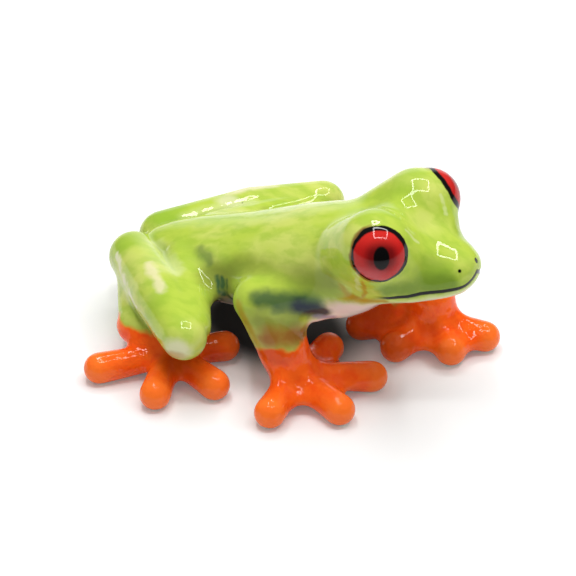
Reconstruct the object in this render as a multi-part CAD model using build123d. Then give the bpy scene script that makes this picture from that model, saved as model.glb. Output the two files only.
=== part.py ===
from build123d import *
import os
from math import asin, cos, radians, sin, sqrt

# Tree frog figurine in glazed porcelain, hand-built from cast and rolled pieces that are luted
# together with slip. Millimetres. +X is the way the frog looks, +Y its left, +Z up. The origin
# is on the shelf, under the middle of the figure.

os.makedirs("parts", exist_ok=True)

# Trunk and head, cast as one piece.
rump_back = -17.2           # rearmost point of the rump
trunk_length = 35.9         # rump to snout
trunk_girth = 12.4          # widest breadth behind the shoulders
crown_height = 18.2         # top of the head between the eyes, above the shelf

# Eyes: domed pellets, flat behind, pressed into sockets on both sides of the head.
eye_radius = 2.9
eye_rim_radius = 2.65       # the round of the eye that shows
eye_seat = 0.75             # the flat back, in front of the centre of the eye's ball
eye_setback = 7.6           # from the tip of the snout back to the centre of the eye's ball
eye_side, eye_rise = 4.9, 16.7
EYE_LOOK = (0.51, 0.76, 0.40)

# Brows: a dome behind each eye, drawn out back to the nape and forward to the muzzle.
brow_setback = 1.3          # the centre of the dome, behind the centre of the eye's ball
nape_setback, nape_side, nape_rise = 13.4, 2.2, 12.9
muzzle_setback, muzzle_side, muzzle_rise = 5.3, 2.0, 13.9
nape_radius = 2.6
muzzle_radius = 2.4

# Hind legs, folded: thigh forward to the knee, shank back to the heel, tarsus down to the foot.
hip_place, hip_side, hip_rise = -10.6, 2.6, 6.8
bend_place, bend_side, bend_rise = -4.9, 11.2, 6.6
knee_place, knee_side, knee_rise = -4.5, 12.9, 6.6
heel_place = -16.2
right_heel_side, right_heel_rise = 2.9, 5.6
left_heel_side, left_heel_rise = 2.4, 4.9
ankle_place, ankle_side, ankle_rise = -12.0, 9.2, 3.0
thigh_radius = 2.2
bend_radius = 2.0           # thigh's end at the knee
knee_radius = 2.15
calf_radius = 2.65          # the thickest part of the shank
calf_lift = 0.35            # how far it arches up there
heel_radius = 2.45
tarsus_radius = 1.75
ankle_radius = 1.95

# Forelegs, bent at the elbow.
shoulder_place, shoulder_side, shoulder_rise = 4.3, 3.6, 9.7
elbow_side, elbow_rise = 7.3, 8.9
right_elbow_place, left_elbow_place = -0.1, 5.0
shoulder_radius = 2.9
elbow_radius = 2.2
forearm_radius = 2.1        # forearm where it leaves the elbow
wrist_radius = 2.3
instep_radius = 2.4

# Feet: a palm with toes that end in round pads, ground flat under the sole.
palm_radius = 2.1
palm_rise = 1.6
toe_radius = 1.2
pad_radius = 1.5
pad_rise = 1.3
fore_toe_length = 5.3
hind_toe_length = 5.8
wrist_rise = 4.3
right_wrist_place, right_wrist_side = 2.7, -7.2
right_palm_place, right_palm_side = 3.9, -7.2
left_wrist_place, left_wrist_side = 10.6, 6.7
left_palm_place, left_palm_side = 11.1, 7.1
hind_palm_place, hind_palm_side = -7.9, 9.9

hair = 0.02                 # where two rounds share a centre, one is this much smaller

# Each row of the trunk is one station: how far along from rump to snout, its breadth over the
# girth, then its underside and top over the crown's height, and its widest line between them.
TRUNK_SHARES = (
    (0.012, 0.20, 0.235, 0.345, 0.50),
    (0.040, 0.40, 0.190, 0.400, 0.50),
    (0.085, 0.56, 0.160, 0.450, 0.50),
    (0.150, 0.71, 0.150, 0.505, 0.50),
    (0.230, 0.83, 0.165, 0.565, 0.50),
    (0.310, 0.92, 0.185, 0.630, 0.50),
    (0.390, 0.98, 0.208, 0.705, 0.49),
    (0.470, 1.00, 0.230, 0.785, 0.48),
    (0.550, 0.99, 0.252, 0.855, 0.47),
    (0.620, 0.97, 0.290, 0.905, 0.46),
    (0.680, 0.96, 0.340, 0.935, 0.44),
    (0.735, 0.96, 0.425, 0.965, 0.42),
    (0.785, 0.97, 0.525, 0.975, 0.38),
    (0.830, 0.92, 0.570, 0.960, 0.34),
    (0.875, 0.80, 0.592, 0.930, 0.33),
    (0.915, 0.63, 0.612, 0.900, 0.34),
    (0.950, 0.50, 0.632, 0.878, 0.38),
    (0.978, 0.36, 0.662, 0.850, 0.43),
    (0.993, 0.21, 0.705, 0.822, 0.48),
)
RUMP_TIP_SHARE = 0.290      # height of the rump's tip over the crown's
SNOUT_TIP_SHARE = 0.770
STATION_POINTS = 12

CALF_SHARE = 0.56           # where the shank is thickest, from heel to knee

# Toes: the way each one points from the palm, and its length over the toe length.
RIGHT_FORE_TOE_SHARES = ((-84, 1.06), (-19, 1.17), (33, 1.35), (87, 1.10))
LEFT_FORE_TOE_SHARES = ((-148, 1.34), (-106, 1.03), (-44, 0.84), (5, 0.94))
HIND_TOE_SHARES = ((134, 1.18), (72, 1.04), (17, 1.05), (-48, 0.90))


def station(along, breadth, under, top, widest):
    """The closed outline of the trunk or head at one place along it."""
    place = rump_back + along * trunk_length
    low = under * crown_height
    high = top * crown_height
    middle = low + widest * (high - low)
    points = []
    for step in range(STATION_POINTS):
        turn = radians(360 * step / STATION_POINTS)
        reach = high - middle if sin(turn) > 0 else middle - low
        points.append(Vector(place, breadth * trunk_girth / 2 * cos(turn), middle + reach * sin(turn)))
    return Wire([Edge.make_spline(points, periodic=True)])


def make_trunk():
    """Trunk and head, lofted through the stations from rump to snout."""
    rump = Vertex(rump_back, 0, RUMP_TIP_SHARE * crown_height)
    snout = Vertex(rump_back + trunk_length, 0, SNOUT_TIP_SHARE * crown_height)
    return Solid.make_loft([rump] + [station(*row) for row in TRUNK_SHARES] + [snout], True)


def on_head(setback, side, rise):
    """A place on the head, measured back from the tip of the snout."""
    return (rump_back + trunk_length - setback, side, rise)


def eye_plane(side):
    """Where an eye's ball is centred, with Z the way the eye looks."""
    look = (EYE_LOOK[0], side * EYE_LOOK[1], EYE_LOOK[2])
    return Plane(origin=on_head(eye_setback, side * eye_side, eye_rise), z_dir=look)


def make_brow(side):
    """A brow's dome is sized so that it meets the eye's ball along the rim."""
    rim_height = sqrt(eye_radius**2 - eye_rim_radius**2)
    radius = sqrt(eye_rim_radius**2 + (rim_height + brow_setback) ** 2)
    dome = eye_plane(side).from_local_coords((0, 0, -brow_setback))
    nape = on_head(nape_setback, side * nape_side, nape_rise)
    muzzle = on_head(muzzle_setback, side * muzzle_side, muzzle_rise)
    return spindle((nape, dome, muzzle), (nape_radius, radius, muzzle_radius))


def make_eye(side):
    """A domed pellet of clay, flat where it seats in the head."""
    edge = sqrt(eye_radius * eye_radius - eye_seat * eye_seat)
    middle = radians(45)
    dome = ThreePointArc(
        (edge, 0, eye_seat),
        (eye_radius * cos(middle), 0, eye_radius * sin(middle)),
        (0, 0, eye_radius),
    )
    seat = Line((0, 0, eye_seat), (edge, 0, eye_seat))
    spine = Line((0, 0, eye_radius), (0, 0, eye_seat))
    pellet = revolve(make_face(seat + dome + spine), Axis.Z)
    return eye_plane(side) * pellet


def roll(start, end, start_radius, end_radius, start_round=True, end_round=True):
    """A tapered roll of clay. An end is round, or flat where it is hidden in a joint."""
    line = Vector(*end) - Vector(*start)
    length = line.length
    lean = asin((start_radius - end_radius) / length)
    outline = []
    if start_round:
        first = (start_radius * cos(lean), 0, start_radius * sin(lean))
        turn = (lean - radians(90)) / 2
        low = (start_radius * cos(turn), 0, start_radius * sin(turn))
        tail = (0, 0, -start_radius)
        outline.append(ThreePointArc(tail, low, first))
    else:
        first = (start_radius, 0, 0)
        tail = (0, 0, 0)
        outline.append(Line(tail, first))
    if end_round:
        last = (end_radius * cos(lean), 0, length + end_radius * sin(lean))
        turn = (lean + radians(90)) / 2
        high = (end_radius * cos(turn), 0, length + end_radius * sin(turn))
        tip = (0, 0, length + end_radius)
        cap = ThreePointArc(last, high, tip)
    else:
        last = (end_radius, 0, length)
        tip = (0, 0, length)
        cap = Line(last, tip)
    outline += [Line(first, last), cap, Line(tip, tail)]
    return Plane(origin=start, z_dir=line) * revolve(make_face(outline), Axis.Z)


def spindle(places, radii):
    """A roll of clay that is thickest in the middle, as the two rolls that it is joined from."""
    tail, middle, nose = places
    first = roll(tail, middle, radii[0], radii[1])
    return [first, roll(middle, nose, radii[1] - hair, radii[2])]


def make_shank(heel, knee):
    """Thickest at the calf, where it arches up a little."""
    calf = Vector(*heel) + CALF_SHARE * (Vector(*knee) - Vector(*heel)) + Vector(0, 0, calf_lift)
    rear, front = spindle((heel, calf, knee), (heel_radius, calf_radius, knee_radius))
    return rear + front


def above_shelf(piece):
    """Grinds a foot flat where it stands."""
    box = piece.bounding_box()
    depth = palm_radius + palm_rise
    width = box.size.X + box.size.Y
    return piece - Pos(box.center().X, box.center().Y, -depth / 2) * Box(width, width, depth)


def make_foot(palm_place, palm_side, toes, toe_length, top, top_radius):
    """A palm, its toes and the instep that rises to the wrist or ankle."""
    palm = (palm_place, palm_side, palm_rise)
    foot = roll(palm, top, palm_radius, top_radius)
    for angle, length_share in toes:
        reach = length_share * toe_length
        turn = radians(angle)
        tip = (palm_place + reach * cos(turn), palm_side + reach * sin(turn), pad_rise)
        foot += roll(palm, tip, toe_radius, pad_radius, start_round=False)
    return above_shelf(foot)


pieces = {}
trunk = make_trunk() + (make_brow(-1) + make_brow(1))
for name, side in (("right", -1), ("left", 1)):
    eye = make_eye(side)
    pieces[name + "_eye"] = eye
    trunk -= eye
pieces["trunk"] = trunk

right_heel = (heel_place, -right_heel_side, right_heel_rise)
left_heel = (heel_place, left_heel_side, left_heel_rise)
for name, side, heel in (("right", -1, right_heel), ("left", 1, left_heel)):
    hip = (hip_place, side * hip_side, hip_rise)
    bend = (bend_place, side * bend_side, bend_rise)
    knee = (knee_place, side * knee_side, knee_rise)
    ankle = (ankle_place, side * ankle_side, ankle_rise)
    shank = make_shank(heel, knee) - trunk
    thigh = roll(hip, bend, thigh_radius, bend_radius) - trunk - shank
    toes = [(side * angle, share) for angle, share in HIND_TOE_SHARES]
    palm_side = side * hind_palm_side
    foot = make_foot(hind_palm_place, palm_side, toes, hind_toe_length, ankle, ankle_radius)
    foot -= shank
    tarsus = roll(heel, ankle, tarsus_radius, tarsus_radius, False, False) - trunk - shank - foot
    pieces[name + "_thigh"] = thigh
    pieces[name + "_shank"] = shank
    pieces[name + "_tarsus"] = tarsus
    pieces[name + "_hind_foot"] = foot

right_fore = (right_elbow_place, right_wrist_place, right_wrist_side)
left_fore = (left_elbow_place, left_wrist_place, left_wrist_side)
right_foot = (right_palm_place, right_palm_side, RIGHT_FORE_TOE_SHARES)
left_foot = (left_palm_place, left_palm_side, LEFT_FORE_TOE_SHARES)
for name, side, arm, stance in (("right", -1, right_fore, right_foot), ("left", 1, left_fore, left_foot)):
    elbow_place, wrist_place, wrist_side = arm
    shoulder = (shoulder_place, side * shoulder_side, shoulder_rise)
    elbow = (elbow_place, side * elbow_side, elbow_rise)
    wrist = (wrist_place, wrist_side, wrist_rise)
    foot = make_foot(*stance, fore_toe_length, wrist, instep_radius)
    leg = roll(shoulder, elbow, shoulder_radius, elbow_radius, start_round=False)
    leg += roll(elbow, wrist, forearm_radius, wrist_radius, False, False)
    pieces[name + "_foreleg"] = leg - trunk - foot
    pieces[name + "_forefoot"] = foot

for name, piece in pieces.items():
    export_step(piece, "parts/" + name + ".step")
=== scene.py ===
# Tree frog figurine in glazed porcelain. The clay joints are smoothed over into one skin, which is
# then parted again into the pieces of the frame, and the glaze is painted on by material.
from math import ceil, cos, pi, radians, sin

import bpy
import numpy as np
import openvdb
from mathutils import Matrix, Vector


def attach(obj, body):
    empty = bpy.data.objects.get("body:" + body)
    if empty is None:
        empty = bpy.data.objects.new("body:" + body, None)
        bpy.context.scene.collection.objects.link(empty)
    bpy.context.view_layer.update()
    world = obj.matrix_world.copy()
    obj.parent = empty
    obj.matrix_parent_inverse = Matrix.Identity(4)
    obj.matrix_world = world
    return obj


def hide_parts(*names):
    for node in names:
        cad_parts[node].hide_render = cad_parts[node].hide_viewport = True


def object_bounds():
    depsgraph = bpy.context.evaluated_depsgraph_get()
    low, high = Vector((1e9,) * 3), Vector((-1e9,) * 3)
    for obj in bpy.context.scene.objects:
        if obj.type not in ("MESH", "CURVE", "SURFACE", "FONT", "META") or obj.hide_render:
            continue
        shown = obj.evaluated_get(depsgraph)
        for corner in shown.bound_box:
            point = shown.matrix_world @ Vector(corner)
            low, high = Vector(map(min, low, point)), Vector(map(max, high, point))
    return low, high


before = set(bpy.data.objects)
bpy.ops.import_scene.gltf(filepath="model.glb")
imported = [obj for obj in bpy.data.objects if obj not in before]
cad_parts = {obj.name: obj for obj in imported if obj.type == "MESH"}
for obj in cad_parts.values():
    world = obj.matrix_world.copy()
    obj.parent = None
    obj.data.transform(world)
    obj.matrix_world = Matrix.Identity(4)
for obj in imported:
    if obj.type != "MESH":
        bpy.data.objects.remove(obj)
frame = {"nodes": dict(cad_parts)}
cad_low, cad_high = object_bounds()

# Lengths below are in millimetres, and MM turns them into the scene's metres.
MM = 0.001

SIDES = ("right", "left")
THIGHS = [side + "_thigh" for side in SIDES]
SHANKS = [side + "_shank" for side in SIDES]
TARSI = [side + "_tarsus" for side in SIDES]
FORELEGS = [side + "_foreleg" for side in SIDES]
HIND_FEET = [side + "_hind_foot" for side in SIDES]
FOREFEET = [side + "_forefoot" for side in SIDES]
EYES = [side + "_eye" for side in SIDES]
FEET = HIND_FEET + FOREFEET
GREEN_PIECES = ["trunk"] + THIGHS + SHANKS + TARSI + FORELEGS

# The skin is worked out on a grid of distances.
VOXEL = 0.16
EDGE = 1.6                  # room kept round the figure
SPARE_VOXELS = 4
SOFTEN = 0.24               # how far small creases are blurred
SOFTEN_REACH = 3            # in blur widths
SHEEN_REACH = 0.45          # how far the slope is taken for an even sheen
RIDGE_BLUR = 0.7            # the scale at which ridges and hollows are told apart
LABEL_ROUNDS = 6
SETTLE_ROUNDS = 3
HAIR = 1e-6

# How far slip fills the crease where pieces meet.
BROW_FILLET = 3.0
EYE_FILLET = 0.25
SHOULDER_FILLET = 2.6
HIP_FILLET = 1.2
HEEL_FILLET = 0.8
TOE_FILLET = 0.6
WRIST_FILLET = 1.5
JOINTS = [
    (["trunk"], BROW_FILLET),
    (["trunk"] + EYES, EYE_FILLET),
    (["trunk"] + FORELEGS, SHOULDER_FILLET),
    (["trunk"] + THIGHS, HIP_FILLET),
]
for side in SIDES:
    JOINTS += [
        ([side + "_shank", side + "_tarsus"], HEEL_FILLET),
        ([side + "_tarsus", side + "_hind_foot"], TOE_FILLET),
        ([side + "_foreleg", side + "_forefoot"], WRIST_FILLET),
    ]

# Where more slip was laid on, at the armpits and one wrist: the pieces, how far it fills their crease,
# and the place and its reach.
SLIP_FILLS = [(["left_foreleg", "left_forefoot"], 3.2, (6.8, 4.2, 4.0), 1.8)]
for foreleg, way in zip(FORELEGS, (-1, 1)):
    SLIP_FILLS.append((["trunk", foreleg], 4.0, (6.4, way * 4.9, 7.6), 1.5))

# The mouth, as seen from the front: side and height from the middle of the snout to the corner.
MOUTH_LINE = (
    (0, 14.15), (0.6, 13.75), (1.5, 13.36), (2.7, 13.26), (4.2, 13.08), (5.2, 12.7), (5.85, 12.25),
)
MOUTH_START = 11.2          # where its corner lies along the frog
MOUTH_FADE = 1.0            # how far before and after that the groove deepens
MOUTH_PAINT_FADE = (0.2, 1.5)  # the same for its paint
MOUTH_WIDTH = 0.2
MOUTH_EDGE = 0.35           # softness of the painted line
MOUTH_GROOVE = 0.3
MOUTH_DEPTH = 0.09

NOSTRILS = ((17.55, -1.5, 14.72), (18.25, 0.62, 14.9))
NOSTRIL_RADIUS = 0.27
NOSTRIL_DEPTH = 0.22
NOSTRIL_EDGE = 0.2

# The eyes' balls, where the frame has them, and the round that shows.
EYE_CENTRE = (11.1, 4.9, 16.7)
EYE_LOOK = Vector((0.53, 0.745, 0.40)).normalized()
EYE_RIM = 2.48
OUTLINE_WIDTH = (0.12, 0.3)  # thin behind and below, broad in front and above
PUPIL_WIDTH = 0.72
PUPIL_HEIGHT = 1.08
PUPIL_RISE = -0.15

# How the paint of the eyes changes from none to full: in depth from the ball's middle, in distance from
# the middle of the round that shows, upward and ahead on it, and beyond its rim.
FRONT_DEPTH = (0.4, 0.8)
IRIS_DARK = (1.9, 0.9)
GLOW_RISE, GLOW_AHEAD, GLOW_COVER = (-0.5, -1.9), (1.2, -0.8), 0.75
LIT_RISE, LIT_COVER = (0.4, 1.8), 0.5
RIM_BEYOND = (0.12, 0.02)
OUTLINE_TURN = (-3.0, 2.5)  # ahead and upward, from thin to broad
INNER_BEYOND = (0.08, -0.06)
STAIN_BEYOND, STAIN_AHEAD, STAIN_COVER = (0.34, 0.12), (0.2, -1.6), 0.8
PUPIL_SHARE = (1.12, 0.88)
LOOSE_SHARE = 0.35          # how much of the brush's waver the outline has


def node_soup(names):
    """Points and triangles of some CAD nodes, in millimetres."""
    points = []
    corners = []
    count = 0
    for name in names:
        mesh = frame["nodes"][name].data
        mesh.calc_loop_triangles()
        spots = np.empty(len(mesh.vertices) * 3, np.float32)
        mesh.vertices.foreach_get("co", spots)
        trio = np.empty(len(mesh.loop_triangles) * 3, np.int32)
        mesh.loop_triangles.foreach_get("vertices", trio)
        points.append(spots.reshape(-1, 3) / MM)
        corners.append(trio.reshape(-1, 3) + count)
        count += len(points[-1])
    return np.concatenate(points), np.concatenate(corners).astype(np.uint32)


lattice = openvdb.createLinearTransform(voxelSize=VOXEL)
low = np.floor((np.array(cad_low) / MM - EDGE) / VOXEL).astype(int)
high = np.ceil((np.array(cad_high) / MM + EDGE) / VOXEL).astype(int)
origin = low * VOXEL
shape = tuple(int(n) for n in high - low + 1)
corner = tuple(int(n) for n in low)


def as_block(grid):
    """A level set as an array over the whole figure."""
    block = np.empty(shape, np.float32)
    grid.copyToArray(block, ijk=corner)
    return block


def level_set(points, reach, **faces):
    """Distances from a surface of triangles or quads, known for that reach on both sides of it."""
    width = ceil(reach / VOXEL) + SPARE_VOXELS
    build = openvdb.FloatGrid.createLevelSetFromPolygons
    return build(points, transform=lattice, halfWidth=float(width), **faces)


def distance_to(names):
    """Distances from the plain CAD pieces."""
    points, triangles = node_soup(names)
    return as_block(level_set(points, EDGE, triangles=triangles))


def filled(names, radius):
    """Distances from pieces whose creases are filled to a radius: swollen by it, then shrunk back."""
    points, triangles = node_soup(names)
    swollen, quads = level_set(points, radius, triangles=triangles).convertToQuads(radius)
    return as_block(level_set(swollen, radius, quads=quads)) + radius


def blurred(block, width):
    """The array after a Gaussian blur of that width."""
    reach = ceil(SOFTEN_REACH * width / VOXEL)
    steps = np.arange(-reach, reach + 1)
    weights = np.exp(-0.5 * (steps * VOXEL / width) ** 2)
    weights /= weights.sum()
    for axis in range(3):
        padding = [(0, 0)] * 3
        padding[axis] = (reach, reach)
        padded = np.pad(block, padding, mode="edge")
        total = np.zeros_like(block)
        for step, weight in zip(steps + reach, weights):
            window = [slice(None)] * 3
            window[axis] = slice(int(step), int(step) + block.shape[axis])
            total += np.float32(weight) * padded[tuple(window)]
        block = total
    return block


def sampled(block, points):
    """The array's values at points, by trilinear interpolation."""
    place = (points - origin) / VOXEL
    place = np.clip(place, 0, np.array(shape) - 1 - HAIR)
    base = place.astype(int)
    share = place - base
    total = np.zeros(len(points))
    # The three bits of turn say which of the cell's eight corners it is.
    for turn in range(8):
        step = np.array([turn & 1, turn >> 1 & 1, turn >> 2 & 1])
        weight = np.where(step, share, 1 - share).prod(1)
        i, j, k = (base + step).T
        total += weight * block[i, j, k]
    return total


def slopes(block, points, reach=VOXEL):
    """Unit directions in which the distance grows, at points."""
    found = np.empty((len(points), 3))
    for axis in range(3):
        step = np.zeros(3)
        step[axis] = reach
        found[:, axis] = sampled(block, points + step) - sampled(block, points - step)
    return found / np.maximum(np.linalg.norm(found, axis=1, keepdims=True), HAIR)


def smooth_step(value, start, end):
    """0 before start, 1 after end, and smooth between them."""
    share = np.clip((value - start) / (end - start), 0, 1)
    return share * share * (3 - 2 * share)


def carving(points):
    """How deep the mouth and the nostrils are pressed into the clay at points."""
    x, y, z = points[:, 0], np.abs(points[:, 1]), points[:, 2]
    away = np.full(len(points), np.inf)
    for (y0, z0), (y1, z1) in zip(MOUTH_LINE, MOUTH_LINE[1:]):
        run, rise = y1 - y0, z1 - z0
        share = np.clip(((y - y0) * run + (z - z0) * rise) / (run * run + rise * rise), 0, 1)
        away = np.minimum(away, np.hypot(y - y0 - share * run, z - z0 - share * rise))
    mouth = smooth_step(away, MOUTH_GROOVE, 0)
    mouth = mouth * smooth_step(x, MOUTH_START - MOUTH_FADE, MOUTH_START + MOUTH_FADE)
    nostrils = 0.0
    for nostril in NOSTRILS:
        hole = np.linalg.norm(points - nostril, axis=1)
        nostrils = nostrils + smooth_step(hole, 2 * NOSTRIL_RADIUS, 0)
    return MOUTH_DEPTH * mouth + NOSTRIL_DEPTH * nostrils


def figure_field():
    """Distances from the whole figure, with its clay joints smoothed over."""
    field = distance_to(frame["nodes"])
    for names, radius in JOINTS:
        field = np.minimum(field, filled(names, radius))
    spots = np.indices(shape, np.float32) * np.float32(VOXEL)
    spots += origin.astype(np.float32)[:, None, None, None]
    for names, radius, centre, reach in SLIP_FILLS:
        away = np.linalg.norm(spots - np.array(centre, np.float32)[:, None, None, None], axis=0)
        field = np.minimum(field, filled(names, radius) + np.maximum(away - reach, 0))
    return blurred(field, SOFTEN)


def skin_of(field):
    """Points, outward directions and quads of the surface where the distance is zero."""
    grid = openvdb.FloatGrid(EDGE)
    grid.transform = lattice
    grid.gridClass = openvdb.GridClass.LEVEL_SET
    grid.copyFromArray(field, ijk=corner)
    points, quads = grid.convertToQuads(0.0)
    points = points.astype(float)
    for _ in range(SETTLE_ROUNDS):
        away = sampled(field, points) + carving(points)
        points -= away[:, None] * slopes(field, points)
    points[:, 2] = np.maximum(points[:, 2], 0)
    return points, slopes(field, points, SHEEN_REACH), quads[:, ::-1].astype(int)


def nearest_piece(points, names):
    """For each point, the number of the CAD piece that it is nearest to."""
    best = np.full(len(points), np.inf)
    found = np.zeros(len(points), int)
    for number, name in enumerate(names):
        away = sampled(distance_to([name]), points)
        closer = away < best
        best[closer] = away[closer]
        found[closer] = number
    return found


def neighbours(quads):
    """Pairs of quads that share an edge."""
    edges = np.stack([quads, np.roll(quads, -1, 1)], 2).reshape(-1, 2)
    edges.sort(1)
    owner = np.repeat(np.arange(len(quads)), 4)
    order = np.lexsort(edges.T)
    edges, owner = edges[order], owner[order]
    same = (edges[1:] == edges[:-1]).all(1)
    return owner[:-1][same], owner[1:][same]


def islands(count, first, second):
    """A number for each quad, the same for quads that are joined through the pairs."""
    island = np.arange(count)
    while True:
        least = island.copy()
        np.minimum.at(least, first, island[second])
        np.minimum.at(least, second, island[first])
        least = least[least]
        if (least == island).all():
            return island
        island = least


def tidied(labels, quads, kinds):
    """Labels after their borders are smoothed, with each piece in one patch."""
    first, second = neighbours(quads)
    share = np.zeros((len(quads), kinds), np.float32)
    share[np.arange(len(quads)), labels] = 1
    for _ in range(LABEL_ROUNDS):
        spread = share.copy()
        np.add.at(spread, first, share[second])
        np.add.at(spread, second, share[first])
        share = spread / spread.sum(1, keepdims=True)
    labels = share.argmax(1)
    while True:
        alike = labels[first] == labels[second]
        island = islands(len(quads), first[alike], second[alike])
        names, inverse, counts = np.unique(island, return_inverse=True, return_counts=True)
        main = np.array([counts[labels[names] == kind].max(initial=0) for kind in range(kinds)])
        stray = counts[inverse] < main[labels]
        if not stray.any():
            return labels
        edge = stray[first] != stray[second]
        inside = np.where(stray[first], first, second)[edge]
        outside = np.where(stray[first], second, first)[edge]
        labels[inside] = labels[outside]


def rims(faces):
    """The open edges of a patch as closed loops of points."""
    starts = faces.reshape(-1).tolist()
    ends = np.roll(faces, -1, 1).reshape(-1).tolist()
    edges = set(zip(starts, ends))
    following = {}
    for start, end in edges:
        if (end, start) not in edges:
            following.setdefault(end, []).append(start)
    loops = []
    while following:
        loop = [next(iter(following))]
        while loop[-1] in following:
            options = following[loop[-1]]
            after = options.pop()
            if not options:
                del following[loop[-1]]
            if after == loop[0]:
                break
            loop.append(after)
        loops.append(loop)
    return loops


def skin_piece(name, points, normals, quads, marks):
    """A closed mesh from one patch of the skin, its open rims filled inside the clay."""
    used, faces = np.unique(quads, return_inverse=True)
    faces = faces.reshape(-1, 4)
    spots = points[used].tolist()
    polygons = faces.tolist()
    for loop in rims(faces):
        middle = len(spots)
        spots.append(np.mean([spots[i] for i in loop], 0).tolist())
        polygons += [(loop[i - 1], loop[i], middle) for i in range(len(loop))]
    mesh = bpy.data.meshes.new(name)
    mesh.from_pydata([[axis * MM for axis in spot] for spot in spots], [], polygons)
    mesh.shade_smooth()
    directions = normals[used][faces].reshape(-1, 3).tolist()
    for polygon in mesh.polygons[len(faces):]:
        directions += [list(polygon.normal)] * 3
    mesh.normals_split_custom_set(directions)
    for mark, values in marks.items():
        layer = mesh.attributes.new(mark, "FLOAT", "POINT")
        held = np.zeros(len(spots), np.float32)
        held[:len(used)] = values[used]
        layer.data.foreach_set("value", held)
    piece = bpy.data.objects.new(name, mesh)
    bpy.context.scene.collection.objects.link(piece)
    return piece


def make_skins():
    """One closed piece of skin for each CAD piece."""
    field = figure_field()
    points, normals, quads = skin_of(field)
    names = list(frame["nodes"])
    labels = nearest_piece(points[quads].mean(1), names)
    labels = tidied(labels, quads, len(names))
    rest = [name for name in names if name not in FEET]
    marks = {
        "ridge": sampled(blurred(field, RIDGE_BLUR) - field, points),
        "from_foot": sampled(distance_to(FEET) - distance_to(rest), points),
    }
    skins = {}
    for number, name in enumerate(names):
        skin = skin_piece(name + "_skin", points, normals, quads[labels == number], marks)
        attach(skin, "root")
        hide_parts(name)
        skins[name] = skin
    return skins


def colour(red, green, blue):
    """A colour in parts of 255, as it shows on a screen, turned into light by the sRGB curve."""
    shares = [part / 255 for part in (red, green, blue)]
    return [((c + 0.055) / 1.055) ** 2.4 if c > 0.04045 else c / 12.92 for c in shares] + [1.0]


LIME = colour(178, 200, 72)
YELLOW_GREEN = colour(196, 207, 102)
GRASS = colour(148, 182, 56)
LEAF = colour(106, 136, 42)
PALE_GREEN = colour(204, 216, 144)
THIN_GLAZE = colour(226, 222, 186)
PINK_CLAY = colour(236, 222, 190)
THROAT = colour(232, 214, 204)
BELLY = colour(240, 228, 214)
OLIVE = colour(118, 128, 52)
MOSS = colour(150, 158, 62)
BOTTLE = colour(54, 88, 60)
TEAL = colour(36, 84, 62)
NAVY = colour(22, 28, 64)
LILAC = colour(138, 132, 172)
OCHRE = colour(176, 142, 48)
FAWN = colour(184, 156, 108)
UMBER = colour(144, 68, 20)
ORANGE = colour(255, 102, 24)
DEEP_ORANGE = colour(250, 86, 16)
LIGHT_ORANGE = colour(255, 128, 48)
RUST = colour(200, 68, 14)
BISQUE = colour(238, 226, 202)
LINE_BLACK = colour(10, 10, 10)
BRIGHT_RED = colour(214, 50, 42)
RED = colour(186, 28, 26)
DARK_RED = colour(112, 10, 12)
PINK_RED = colour(192, 86, 90)
RED_BROWN = colour(110, 34, 26)
PUPIL_BLACK = colour(2, 2, 2)
WHITE = (1, 1, 1, 1)
BLACK = (0, 0, 0, 1)

# How the edges of brush marks waver, and how soft they are, as a share of the mark.
WAVER_SIZE = 1.3
WAVER_REACH = 0.9
WAVER_DETAIL = 2.0
BRUSH_EDGE = 0.5
STROKE_EDGE = 0.7

# Mottling: its size and detail, the values between which it turns from one colour to the other, and
# how it is drawn out along each axis.
BROAD_CLOUD = (5.0, 2.0, 0.40, 0.62, (2.0, 0.8, 0.8))
FINE_CLOUD = (1.5, 3.0, 0.40, 0.68, (2.5, 0.8, 0.8))
FINE_COVER = 0.5
FOOT_CLOUD = (1.1, 3.0, 0.38, 0.66, (1, 1, 1))

# The glaze runs thin on ridges and pools in hollows: from and to, and how strongly it covers there.
GREEN_THIN = (0.17, 0.30, 0.35)
GREEN_POOL = (-0.03, -0.16, 0.45)
FOOT_THIN = (0.10, 0.26, 0.6)
FOOT_POOL = (0.02, -0.14, 0.25)

# The underside of the body, where it turns downward, is unpainted and pale.
BELLY_CENTRE = (1.0, 0.0, 8.0)
BELLY_REACH = (19.0, 6.4, 12.0)
BELLY_EDGE = 0.12
BELLY_TURN = (-0.15, -0.55)

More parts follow.
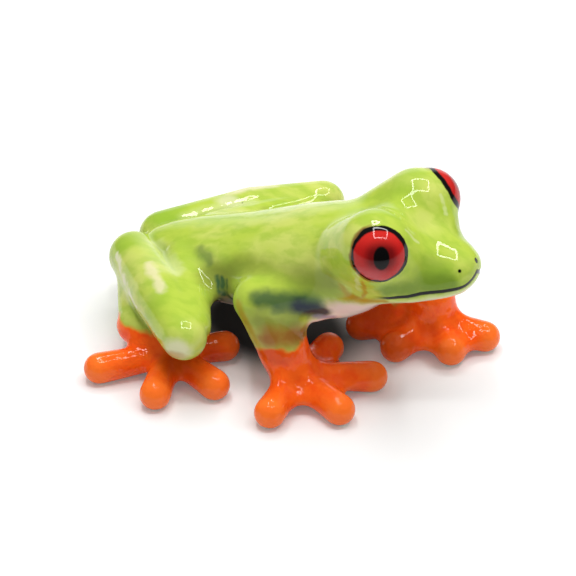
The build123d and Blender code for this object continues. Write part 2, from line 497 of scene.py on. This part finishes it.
# Brush marks on the green, a few of them painted shade or a painted highlight as marked below: whether
# they lie on both sides, their middle, their reach along each axis, their colour and how strongly they
# cover.
BOTH_SIDES, ONE_SIDE = True, False
GREEN_SPOTS = (
    (BOTH_SIDES, (8.8, 5.0, 9.7), (3.4, 1.8, 1.15), THROAT, 0.95),
    (BOTH_SIDES, (-16.2, 4.0, 7.9), (1.7, 1.7, 1.4), GRASS, 0.7),
    (ONE_SIDE, (-14.2, -5.8, 8.3), (1.4, 1.4, 1.0), YELLOW_GREEN, 0.7),
    (ONE_SIDE, (-8.4, -11.4, 8.6), (1.4, 1.1, 1.0), GRASS, 0.5),
    (BOTH_SIDES, (-4.0, 14.9, 6.6), (1.5, 0.9, 1.0), THIN_GLAZE, 0.85),
    (BOTH_SIDES, (-4.3, 15.0, 5.7), (1.4, 0.9, 0.6), FAWN, 0.8),
    (ONE_SIDE, (-15.6, 1.9, 7.2), (2.6, 1.3, 1.1), GRASS, 0.95),
    (ONE_SIDE, (-11.0, 6.2, 8.5), (1.6, 0.8, 0.8), THIN_GLAZE, 0.6),
    (BOTH_SIDES, (-4.6, 5.6, 6.4), (2.2, 1.4, 1.1), TEAL, 0.7),
    (BOTH_SIDES, (-5.3, 5.7, 8.5), (1.9, 1.5, 1.7), OLIVE, 0.75),
    (BOTH_SIDES, (6.0, 6.0, 11.8), (2.2, 1.0, 1.6), GRASS, 0.55),
    # Painted highlight: lighter lime on the tops of the elbows.
    (BOTH_SIDES, (-1.0, 8.0, 10.6), (1.5, 1.4, 0.7), LIME, 0.8),
    (BOTH_SIDES, (1.4, 9.2, 8.2), (1.6, 0.9, 1.6), MOSS, 0.6),
    # These two: darker green on the sides of the snout, a painted shade.
    (BOTH_SIDES, (16.2, 2.9, 14.4), (2.0, 1.4, 1.0), GRASS, 0.6),
    (BOTH_SIDES, (15.4, 3.2, 15.2), (2.0, 1.6, 1.2), LEAF, 0.35),
    (BOTH_SIDES, (9.4, 5.8, 11.4), (1.6, 0.9, 0.5), OCHRE, 0.7),
    (ONE_SIDE, (9.6, 2.6, 19.6), (1.8, 1.8, 1.0), GRASS, 0.55),
)

# Brush strokes on both sides, some marked below as painted shade or highlight: from, to, half width,
# colour and cover.
STROKES = (
    ((-14.0, 2.8, 7.9), (-9.0, 6.8, 8.7), 0.7, PALE_GREEN, 0.6),
    ((-8.4, 3.7, 9.5), (-6.6, 4.6, 9.4), 0.55, BOTTLE, 0.5),
    ((-11.8, 7.2, 8.9), (-8.5, 10.3, 9.0), 0.5, PINK_CLAY, 0.6),
    # Thin glaze along the outer edges of the shanks, brightened further as a painted highlight.
    ((-16.6, 5.2, 7.1), (-11.0, 10.7, 6.2), 0.3, THIN_GLAZE, 0.8),
    ((-11.0, 10.7, 6.2), (-6.6, 14.0, 5.6), 0.25, THIN_GLAZE, 0.5),
    # Olive along the upper flanks, deepened further as a painted shade.
    ((-3.5, 5.3, 10.2), (6.5, 5.8, 12.3), 1.2, OLIVE, 0.65),
    # Darker green along the sides of the snout above the mouth: painted shade.
    ((12.5, 5.7, 13.6), (17.2, 2.6, 14.0), 0.85, LEAF, 0.8),
    ((1.0, 8.7, 10.2), (5.4, 6.4, 10.0), 0.85, BOTTLE, 0.85),
    ((2.5, 8.1, 9.3), (5.2, 6.2, 8.4), 0.5, BOTTLE, 0.6),
    ((4.2, 7.1, 9.5), (6.0, 5.8, 8.8), 0.75, NAVY, 0.9),
    ((5.6, 5.9, 8.0), (6.5, 5.0, 7.8), 0.4, LILAC, 0.6),
    ((1.5, 9.2, 8.2), (4.0, 7.3, 7.7), 0.7, OLIVE, 0.6),
    ((2.3, 9.1, 6.6), (4.4, 6.9, 6.2), 1.05, UMBER, 0.85),
    ((-0.9, 9.3, 9.4), (1.0, 9.6, 5.8), 0.45, OCHRE, 0.6),
    ((-5.4, 5.8, 8.7), (-4.6, 6.3, 7.5), 0.24, TEAL, 0.85),
    ((-4.8, 5.7, 8.7), (-4.1, 6.2, 7.1), 0.24, TEAL, 0.85),
    ((-4.2, 5.6, 8.7), (-3.7, 5.9, 6.8), 0.24, TEAL, 0.85),
    ((10.5, 7.5, 15.4), (9.9, 6.3, 12.9), 0.22, PALE_GREEN, 0.8),
    ((10.9, 7.1, 14.7), (10.3, 6.0, 12.1), 0.22, OCHRE, 0.85),
    ((7.9, 6.0, 12.3), (9.2, 5.9, 11.6), 0.35, OCHRE, 0.7),
    ((9.2, 5.9, 11.6), (12.2, 5.3, 11.8), 0.32, OCHRE, 0.8),
    ((12.8, 5.2, 12.0), (17.6, 2.3, 13.0), 0.25, PALE_GREEN, 0.6),
    ((13.1, 3.3, 18.5), (13.9, 2.7, 17.2), 0.16, PALE_GREEN, 0.7),
)

# On the feet, the orange is darkened to rust: as painted shade under the knees and where toes reach under
# the belly, and at one wrist: the rows are as above, without a colour.
RUST_AND_SHADE_SPOTS = (
    (BOTH_SIDES, (-5.4, 12.0, 2.8), (2.2, 1.9, 1.6), 0.6),
    (BOTH_SIDES, (-5.0, 7.0, 2.0), (1.8, 1.8, 1.6), 0.5),
    (ONE_SIDE, (2.8, -9.3, 5.0), (2.2, 1.4, 0.9), 0.65),
    (ONE_SIDE, (5.2, 3.4, 2.4), (2.4, 2.2, 2.0), 0.7),
    (ONE_SIDE, (10.2, 1.5, 2.0), (1.6, 1.5, 1.4), 0.7),
)
HIND_ORANGE = 3.9           # how high the orange reaches on the ankles
FORE_ORANGE = 5.6
HIND_END, FORE_START = -5.0, -1.0  # along the frog
ORANGE_EDGE = 0.25
FOOT_EDGE = (0.5, 0.1)      # how much farther a place is from the feet than from the legs

SPECKS = ((1.87, -0.85, 15.38), (-9.8, 6.5, 8.5))
SPECK_RADIUS = 0.09
SPECK_EDGE = 0.4

# The glaze: its coat, the painted body under it, and the bare clay where the feet were wiped.
BARE_EDGE = 0.17
BARE_BLUR = 0.07
BARE_ROUGHNESS = 0.75
BODY_ROUGHNESS = 0.35
COAT_ROUGHNESS = 0.02
GLAZE_IOR = 1.34
BODY_RIPPLE = (1.4, 0.03)   # size and height
FOOT_RIPPLE = (0.38, 0.045)
EYE_RIPPLE = (1.4, 0.004)
RIPPLE_DETAIL = 1.0

# Camera: as the photograph was taken, from the right front and above.
CAMERA_AZIMUTH, CAMERA_RISE = radians(30), radians(35)
CAMERA_DISTANCE = 292.5
CAMERA_LENS = 195.6
NEAR_SHARE = 0.1            # what lies nearer than that share of the distance isn't drawn
CAMERA_TARGET = Vector((-0.37, -1.056, 6.34))

# Lights: a square ring of strips over the figure, as its reflections show, and a light ceiling that
# dims to the horizon. White paper under the lamps is 1.
RING_HEIGHT = 300
RING_SHIFT = (10, 80)
RING_HALF_WIDTH = 105
STRIP_WIDTH = 21
STRIP_GLOW = 19.3
CEILING_GLOW = 0.65
HORIZON_GLOW = 0.42
GLOSS_SHARE = 0.3           # how much of the room the gloss shows beside the lamps and the paper
PAPER_EDGE, PAPER_MIDDLE = cos(radians(32)), cos(radians(12))
PAPER_GLOW = 1.0
PAPER_ROUGHNESS = 0.9

FLOOR_SIZE = 3000
FLOOR_COLOUR = (0.8, 0.8, 0.8, 1)
FLOOR_LIFT = 0.1            # added for what is seen, so that the paper shows white
DARK_CENTRE = (-3.0, 1.0, 0.0)
DARK_REACH = (9.0, 6.5, 1.0)  # the deep shade on the paper under the belly
DARK_EDGE = 0.35
DARK_SHARE = 0.96


class Paint:
    """One material's nodes. Each method adds some and gives back the output that they end in."""

    def __init__(self, tree):
        self.tree = tree

    def node(self, kind, values, output=0, **settings):
        made = self.tree.nodes.new("ShaderNode" + kind)
        for setting, value in settings.items():
            setattr(made, setting, value)
        for socket, value in values.items():
            if isinstance(value, bpy.types.NodeSocket):
                self.tree.links.new(value, made.inputs[socket])
            else:
                made.inputs[socket].default_value = value
        return made.outputs[output]

    def maths(self, operation, first, second=0.0):
        return self.node("Math", {0: first, 1: second}, operation=operation)

    def vector(self, operation, first, second=(0, 0, 0), output="Vector"):
        return self.node("VectorMath", {0: first, 1: second}, output, operation=operation)

    def ramp(self, value, start, end):
        """0 at start and before, 1 at end and after, whichever way they lie."""
        limits = {"Value": value, "From Min": start, "From Max": end}
        return self.node("MapRange", limits, interpolation_type="SMOOTHSTEP")

    def mix(self, share, under, over):
        made = self.tree.nodes.new("ShaderNodeMix")
        made.data_type = "RGBA"
        for socket, value in ((made.inputs[0], share), (made.inputs[6], under), (made.inputs[7], over)):
            if isinstance(value, bpy.types.NodeSocket):
                self.tree.links.new(value, socket)
            else:
                socket.default_value = value
        return made.outputs[2]

    def noise(self, place, size, detail, output="Fac", stretch=(1, 1, 1)):
        """Cloudy values about that size in millimetres, drawn out by stretch."""
        scale = [1 / (size * part) for part in stretch]
        spread = self.vector("MULTIPLY", place, scale)
        return self.node("TexNoise", {"Vector": spread, "Scale": 1.0, "Detail": detail}, output)

    def clouds(self, place, kind):
        """0 to 1 in mottled patches, of a kind named above."""
        size, detail, start, end, stretch = kind
        return self.ramp(self.noise(place, size, detail, stretch=stretch), start, end)

    def spot(self, place, centre, reach, soft=BRUSH_EDGE):
        """1 inside an ellipsoid and 0 outside it, with a soft edge."""
        away = self.vector("SUBTRACT", place, centre)
        away = self.vector("DIVIDE", away, reach)
        away = self.vector("LENGTH", away, output="Value")
        return self.ramp(away, 1 + soft, 1 - soft)

    def stroke(self, place, start, end, radius, soft=BRUSH_EDGE):
        """1 within radius of the line from start to end, with a soft edge."""
        line = Vector(end) - Vector(start)
        away = self.vector("SUBTRACT", place, start)
        share = self.vector("DOT_PRODUCT", away, line / line.length_squared, "Value")
        share = self.node("Clamp", {"Value": share})
        along = self.node("VectorMath", {0: tuple(line), "Scale": share}, operation="SCALE")
        gap = self.vector("DISTANCE", away, along, "Value")
        return self.ramp(gap, radius * (1 + soft), radius * (1 - soft))

    def both(self, first, second):
        return self.maths("MULTIPLY", first, second)

    def either(self, first, second):
        return self.maths("MAXIMUM", first, second)

    def wash(self, tone, value, limits, shade):
        """The tone with a shade over it from the first limit to the second, as strong as the third."""
        start, end, cover = limits
        return self.mix(self.both(self.ramp(value, start, end), cover), tone, shade)


def places(paint):
    """Where the paint is: as it lies, folded onto one side, and both again with wavering edges."""
    texture = paint.tree.nodes.new("ShaderNodeTexCoord")
    place = paint.vector("MULTIPLY", texture.outputs["Object"], (1 / MM,) * 3)
    waver = paint.noise(place, WAVER_SIZE, WAVER_DETAIL, "Color")
    waver = paint.vector("SUBTRACT", waver, (0.5, 0.5, 0.5))
    waver = paint.vector("MULTIPLY", waver, (WAVER_REACH,) * 3)
    loose = paint.vector("ADD", place, waver)
    sides = []
    for there in (place, loose):
        across = paint.vector("MULTIPLY", paint.vector("ABSOLUTE", there), (0, 1, 0))
        sides.append(paint.vector("ADD", across, paint.vector("MULTIPLY", there, (1, 0, 1))))
    return place, sides[0], loose, sides[1]


def green_coat(paint, loose, loose_side, ridge, facing):
    """The mottled green of the back and legs, the pale belly and the blue of the flanks."""
    tone = paint.mix(paint.clouds(loose, BROAD_CLOUD), LIME, YELLOW_GREEN)
    tone = paint.mix(paint.both(paint.clouds(loose, FINE_CLOUD), FINE_COVER), tone, GRASS)
    belly = paint.spot(loose_side, BELLY_CENTRE, BELLY_REACH, BELLY_EDGE)
    tone = paint.mix(paint.both(paint.ramp(facing, *BELLY_TURN), belly), tone, BELLY)
    for mirrored, centre, reach, shade, strength in GREEN_SPOTS:
        mark = paint.spot(loose_side if mirrored else loose, centre, reach)
        tone = paint.mix(paint.both(mark, strength), tone, shade)
    for start, end, radius, shade, strength in STROKES:
        mark = paint.stroke(loose_side, start, end, radius, STROKE_EDGE)
        tone = paint.mix(paint.both(mark, strength), tone, shade)
    tone = paint.wash(tone, ridge, GREEN_THIN, PALE_GREEN)
    return paint.wash(tone, ridge, GREEN_POOL, LEAF)


def orange_coat(paint, loose, loose_side, ridge):
    """The feet: deep orange, lighter where the glaze runs thin over toes, rusty where it pools."""
    tone = paint.mix(paint.clouds(loose, FOOT_CLOUD), ORANGE, DEEP_ORANGE)
    tone = paint.wash(tone, ridge, FOOT_THIN, LIGHT_ORANGE)
    tone = paint.wash(tone, ridge, FOOT_POOL, RUST)
    # Rust over the orange: painted shade under the knees and the belly, and a darker wrist.
    for mirrored, centre, reach, strength in RUST_AND_SHADE_SPOTS:
        mark = paint.spot(loose_side if mirrored else loose, centre, reach)
        tone = paint.mix(paint.both(mark, strength), tone, RUST)
    return tone


def foot_share(paint, loose, from_foot):
    """1 on the feet and ankles and 0 on the legs, by the luted joint and by height."""
    axes = paint.tree.nodes.new("ShaderNodeSeparateXYZ")
    paint.tree.links.new(loose, axes.inputs[0])
    limits = {"Value": axes.outputs["X"], "From Min": HIND_END, "From Max": FORE_START,
              "To Min": HIND_ORANGE, "To Max": FORE_ORANGE}
    top = paint.node("MapRange", limits)
    below = paint.ramp(paint.maths("SUBTRACT", axes.outputs["Z"], top), ORANGE_EDGE, -ORANGE_EDGE)
    return paint.both(below, paint.ramp(from_foot, *FOOT_EDGE))


def mouth_coat(paint, tone, place, side):
    """The black line of the mouth and the nostrils."""
    flat = paint.vector("MULTIPLY", side, (0, 1, 1))
    line = 0.0
    for (y0, z0), (y1, z1) in zip(MOUTH_LINE, MOUTH_LINE[1:]):
        line = paint.either(paint.stroke(flat, (0, y0, z0), (0, y1, z1), MOUTH_WIDTH, MOUTH_EDGE), line)
    axes = paint.tree.nodes.new("ShaderNodeSeparateXYZ")
    paint.tree.links.new(side, axes.inputs[0])
    before, after = MOUTH_PAINT_FADE
    line = paint.both(line, paint.ramp(axes.outputs["X"], MOUTH_START - before, MOUTH_START + after))
    tone = paint.mix(line, tone, LINE_BLACK)
    for nostril in NOSTRILS:
        tone = paint.mix(paint.spot(place, nostril, (NOSTRIL_RADIUS,) * 3, NOSTRIL_EDGE), tone, LINE_BLACK)
    return tone


def beyond_rim(paint, away, beyond):
    """Grows from 0 to 1 between two distances beyond the rim of the eye."""
    return paint.ramp(away, EYE_RIM + beyond[0], EYE_RIM + beyond[1])


def eye_coat(paint, tone, side, loose_side):
    """The iris, the slit pupil and the black outline round the eye."""
    up = Vector((0, 0, 1)) - EYE_LOOK * EYE_LOOK.z
    up.normalize()
    ahead = EYE_LOOK.cross(up)
    parts = []
    for there in (side, loose_side):
        out = paint.vector("SUBTRACT", there, EYE_CENTRE)
        depth = paint.vector("DOT_PRODUCT", out, EYE_LOOK, "Value")
        rise = paint.vector("DOT_PRODUCT", out, up, "Value")
        reach = paint.vector("DOT_PRODUCT", out, ahead, "Value")
        away = paint.maths("SQRT", paint.maths("ADD", paint.both(rise, rise), paint.both(reach, reach)))
        parts.append((depth, rise, reach, away))
    depth, rise, reach, away = parts[0]
    front = paint.ramp(depth, *FRONT_DEPTH)
    loose_away = paint.both(parts[1][3], LOOSE_SHARE)
    loose_away = paint.maths("ADD", paint.both(away, 1 - LOOSE_SHARE), loose_away)
    # Behind the black outline the red has run out a little over the brow.
    rear = paint.ramp(reach, *STAIN_AHEAD)
    stain = paint.both(paint.both(beyond_rim(paint, loose_away, STAIN_BEYOND), rear), front)
    tone = paint.mix(paint.both(stain, STAIN_COVER), tone, RED_BROWN)
    iris = paint.mix(paint.ramp(away, *IRIS_DARK), RED, DARK_RED)
    glow = paint.both(paint.ramp(rise, *GLOW_RISE), paint.ramp(reach, *GLOW_AHEAD))
    iris = paint.mix(paint.both(glow, GLOW_COVER), iris, PINK_RED)
    iris = paint.mix(paint.both(paint.ramp(rise, *LIT_RISE), LIT_COVER), iris, BRIGHT_RED)
    rim = paint.both(beyond_rim(paint, loose_away, RIM_BEYOND), front)
    tone = paint.mix(rim, tone, LINE_BLACK)
    ahead_and_up = paint.maths("ADD", reach, rise)
    weight = {"Value": ahead_and_up, "From Min": OUTLINE_TURN[0], "From Max": OUTLINE_TURN[1],
              "To Min": OUTLINE_WIDTH[0], "To Max": OUTLINE_WIDTH[1]}
    inward = paint.maths("ADD", loose_away, paint.node("MapRange", weight))
    inner = beyond_rim(paint, inward, INNER_BEYOND)
    tone = paint.mix(paint.both(inner, front), tone, iris)
    slit = paint.node("CombineXYZ", {0: reach, 1: paint.maths("SUBTRACT", rise, PUPIL_RISE)})
    slit = paint.vector("DIVIDE", slit, (PUPIL_WIDTH, PUPIL_HEIGHT, 1))
    slit = paint.vector("LENGTH", slit, output="Value")
    pupil = paint.both(paint.ramp(slit, *PUPIL_SHARE), front)
    return paint.mix(pupil, tone, PUPIL_BLACK)


def make_paint():
    """The paint of the whole figure as one group: its colour, and how rough and how glazed it is."""
    group = bpy.data.node_groups.new("figure_paint", "ShaderNodeTree")
    for name, kind in (("Color", "Color"), ("Roughness", "Float"), ("Glaze", "Float")):
        group.interface.new_socket(name, in_out="OUTPUT", socket_type="NodeSocket" + kind)
    paint = Paint(group)
    place, side, loose, loose_side = places(paint)
    ridge = paint.node("Attribute", {}, "Fac", attribute_name="ridge")
    from_foot = paint.node("Attribute", {}, "Fac", attribute_name="from_foot")
    texture = group.nodes.new("ShaderNodeTexCoord")
    normal = group.nodes.new("ShaderNodeSeparateXYZ")
    group.links.new(texture.outputs["Normal"], normal.inputs[0])
    height = group.nodes.new("ShaderNodeSeparateXYZ")
    group.links.new(loose, height.inputs[0])
    green = green_coat(paint, loose, loose_side, ridge, normal.outputs["Z"])
    orange = orange_coat(paint, loose, loose_side, ridge)
    tone = paint.mix(foot_share(paint, loose, from_foot), green, orange)
    tone = mouth_coat(paint, tone, place, side)
    for speck in SPECKS:
        tone = paint.mix(paint.spot(place, speck, (SPECK_RADIUS,) * 3, SPECK_EDGE), tone, LINE_BLACK)
    tone = eye_coat(paint, tone, side, loose_side)
    bare = paint.ramp(height.outputs["Z"], BARE_EDGE + BARE_BLUR, BARE_EDGE - BARE_BLUR)
    tone = paint.mix(bare, tone, BISQUE)
    output = group.nodes.new("NodeGroupOutput")
    roughness = paint.node("MapRange", {"Value": bare, "To Min": BODY_ROUGHNESS, "To Max": BARE_ROUGHNESS})
    group.links.new(tone, output.inputs["Color"])
    group.links.new(roughness, output.inputs["Roughness"])
    group.links.new(paint.maths("SUBTRACT", 1.0, bare), output.inputs["Glaze"])
    return group


def glaze(name, group, ripple):
    """A clear glaze over the paint, which ripples a little."""
    material = bpy.data.materials.new(name)
    material.use_nodes = True
    tree = material.node_tree
    paint = Paint(tree)
    shader = tree.nodes["Principled BSDF"]
    coat = tree.nodes.new("ShaderNodeGroup")
    coat.node_tree = group
    texture = tree.nodes.new("ShaderNodeTexCoord")
    place = paint.vector("MULTIPLY", texture.outputs["Object"], (1 / MM,) * 3)
    size, rise = ripple
    swell = paint.noise(place, size, RIPPLE_DETAIL)
    bump = {"Strength": 1.0, "Distance": rise * MM, "Height": swell}
    wavy = paint.node("Bump", bump)
    tree.links.new(coat.outputs["Color"], shader.inputs["Base Color"])
    tree.links.new(coat.outputs["Roughness"], shader.inputs["Roughness"])
    tree.links.new(coat.outputs["Glaze"], shader.inputs["Coat Weight"])
    tree.links.new(wavy, shader.inputs["Coat Normal"])
    tree.links.new(wavy, shader.inputs["Normal"])
    shader.inputs["Specular IOR Level"].default_value = 0.0
    shader.inputs["Coat Roughness"].default_value = COAT_ROUGHNESS
    shader.inputs["Coat IOR"].default_value = GLAZE_IOR
    return material


def make_camera():
    """The photograph's view."""
    data = bpy.data.cameras.new("camera")
    camera = bpy.data.objects.new("camera", data)
    bpy.context.scene.collection.objects.link(camera)
    data.lens = CAMERA_LENS
    data.clip_start = CAMERA_DISTANCE * MM * NEAR_SHARE
    level = cos(CAMERA_RISE)
    back = Vector((sin(CAMERA_AZIMUTH) * level, -cos(CAMERA_AZIMUTH) * level, sin(CAMERA_RISE)))
    camera.location = (CAMERA_TARGET + back * CAMERA_DISTANCE) * MM
    camera.rotation_mode = "QUATERNION"
    camera.rotation_quaternion = (-back).to_track_quat("-Z", "Y")
    bpy.context.scene.camera = camera


def make_strips():
    """Four lamps in a square, level with each other."""
    length = 2 * RING_HALF_WIDTH * MM
    width = STRIP_WIDTH * MM
    for number in range(4):
        turn = CAMERA_AZIMUTH + number * pi / 2
        data = bpy.data.lights.new("strip", "AREA")
        data.shape = "RECTANGLE"
        data.size = length
        data.size_y = width
        data.energy = STRIP_GLOW * pi * length * width
        strip = bpy.data.objects.new("strip", data)
        bpy.context.scene.collection.objects.link(strip)
        middle = Vector((*RING_SHIFT, RING_HEIGHT))
        strip.location = (middle + Vector((-sin(turn), cos(turn), 0)) * RING_HALF_WIDTH) * MM
        strip.rotation_euler = (0, 0, turn)


def seen_share(paint):
    """Two values that are 1 or 0: what the camera and the gloss see, and what the camera alone sees."""
    path = paint.tree.nodes.new("ShaderNodeLightPath")
    seen = paint.either(path.outputs["Is Camera Ray"], path.outputs["Is Glossy Ray"])
    return paint.either(seen, path.outputs["Is Transmission Ray"]), path.outputs["Is Camera Ray"]


def make_room():
    """A light ceiling in a dim room, where white paper hangs behind the figure."""
    world = bpy.data.worlds.new("room")
    world.use_nodes = True
    tree = world.node_tree
    paint = Paint(tree)
    background = tree.nodes["Background"]
    background.inputs["Color"].default_value = WHITE
    way = tree.nodes.new("ShaderNodeTexCoord").outputs["Generated"]
    axes = tree.nodes.new("ShaderNodeSeparateXYZ")
    tree.links.new(way, axes.inputs[0])
    rise = paint.maths("MAXIMUM", axes.outputs["Z"], 0.0)
    ceiling = {"Value": paint.both(rise, rise), "To Min": HORIZON_GLOW, "To Max": CEILING_GLOW}
    ceiling = paint.node("MapRange", ceiling)
    dimmed = paint.both(ceiling, GLOSS_SHARE)
    behind = (-sin(CAMERA_AZIMUTH), cos(CAMERA_AZIMUTH), 0)
    paper = paint.ramp(paint.vector("DOT_PRODUCT", way, behind, "Value"), PAPER_EDGE, PAPER_MIDDLE)
    seen, by_camera = seen_share(paint)
    bright = paint.either(paper, by_camera)
    glow = paint.node("MapRange", {"Value": bright, "To Min": dimmed, "To Max": PAPER_GLOW})
    glow = paint.node("MapRange", {"Value": seen, "To Min": ceiling, "To Max": glow})
    tree.links.new(glow, background.inputs["Strength"])
    bpy.context.scene.world = world
    bpy.context.scene.view_settings.view_transform = "Standard"


def make_floor():
    """White paper, which keeps the figure's shadow."""
    half = FLOOR_SIZE * MM / 2
    corners = [(-half, -half, 0), (half, -half, 0), (half, half, 0), (-half, half, 0)]
    mesh = bpy.data.meshes.new("floor")
    mesh.from_pydata(corners, [], [(0, 1, 2, 3)])
    floor = bpy.data.objects.new("floor", mesh)
    bpy.context.scene.collection.objects.link(floor)
    material = bpy.data.materials.new("paper")
    material.use_nodes = True
    tree = material.node_tree
    shader = tree.nodes["Principled BSDF"]
    shader.inputs["Roughness"].default_value = PAPER_ROUGHNESS
    shader.inputs["Specular IOR Level"].default_value = 0.0
    shader.inputs["Emission Color"].default_value = WHITE
    paint = Paint(tree)
    texture = tree.nodes.new("ShaderNodeTexCoord")
    place = paint.vector("MULTIPLY", texture.outputs["Object"], (1 / MM,) * 3)
    shade = paint.both(paint.spot(place, DARK_CENTRE, DARK_REACH, DARK_EDGE), DARK_SHARE)
    light = paint.maths("SUBTRACT", 1.0, shade)
    tree.links.new(paint.mix(shade, FLOOR_COLOUR, BLACK), shader.inputs["Base Color"])
    lift = paint.both(paint.both(seen_share(paint)[0], light), FLOOR_LIFT)
    tree.links.new(lift, shader.inputs["Emission Strength"])
    mesh.materials.append(material)


skins = make_skins()
paint_group = make_paint()
GLAZES = (
    ("green_glaze", GREEN_PIECES, BODY_RIPPLE),
    ("orange_glaze", FEET, FOOT_RIPPLE),
    ("red_glaze", EYES, EYE_RIPPLE),
)
for slot, names, ripple in GLAZES:
    material = glaze(slot, paint_group, ripple)
    for name in names:
        skins[name].data.materials.append(material)
make_camera()
make_strips()
make_room()
make_floor()
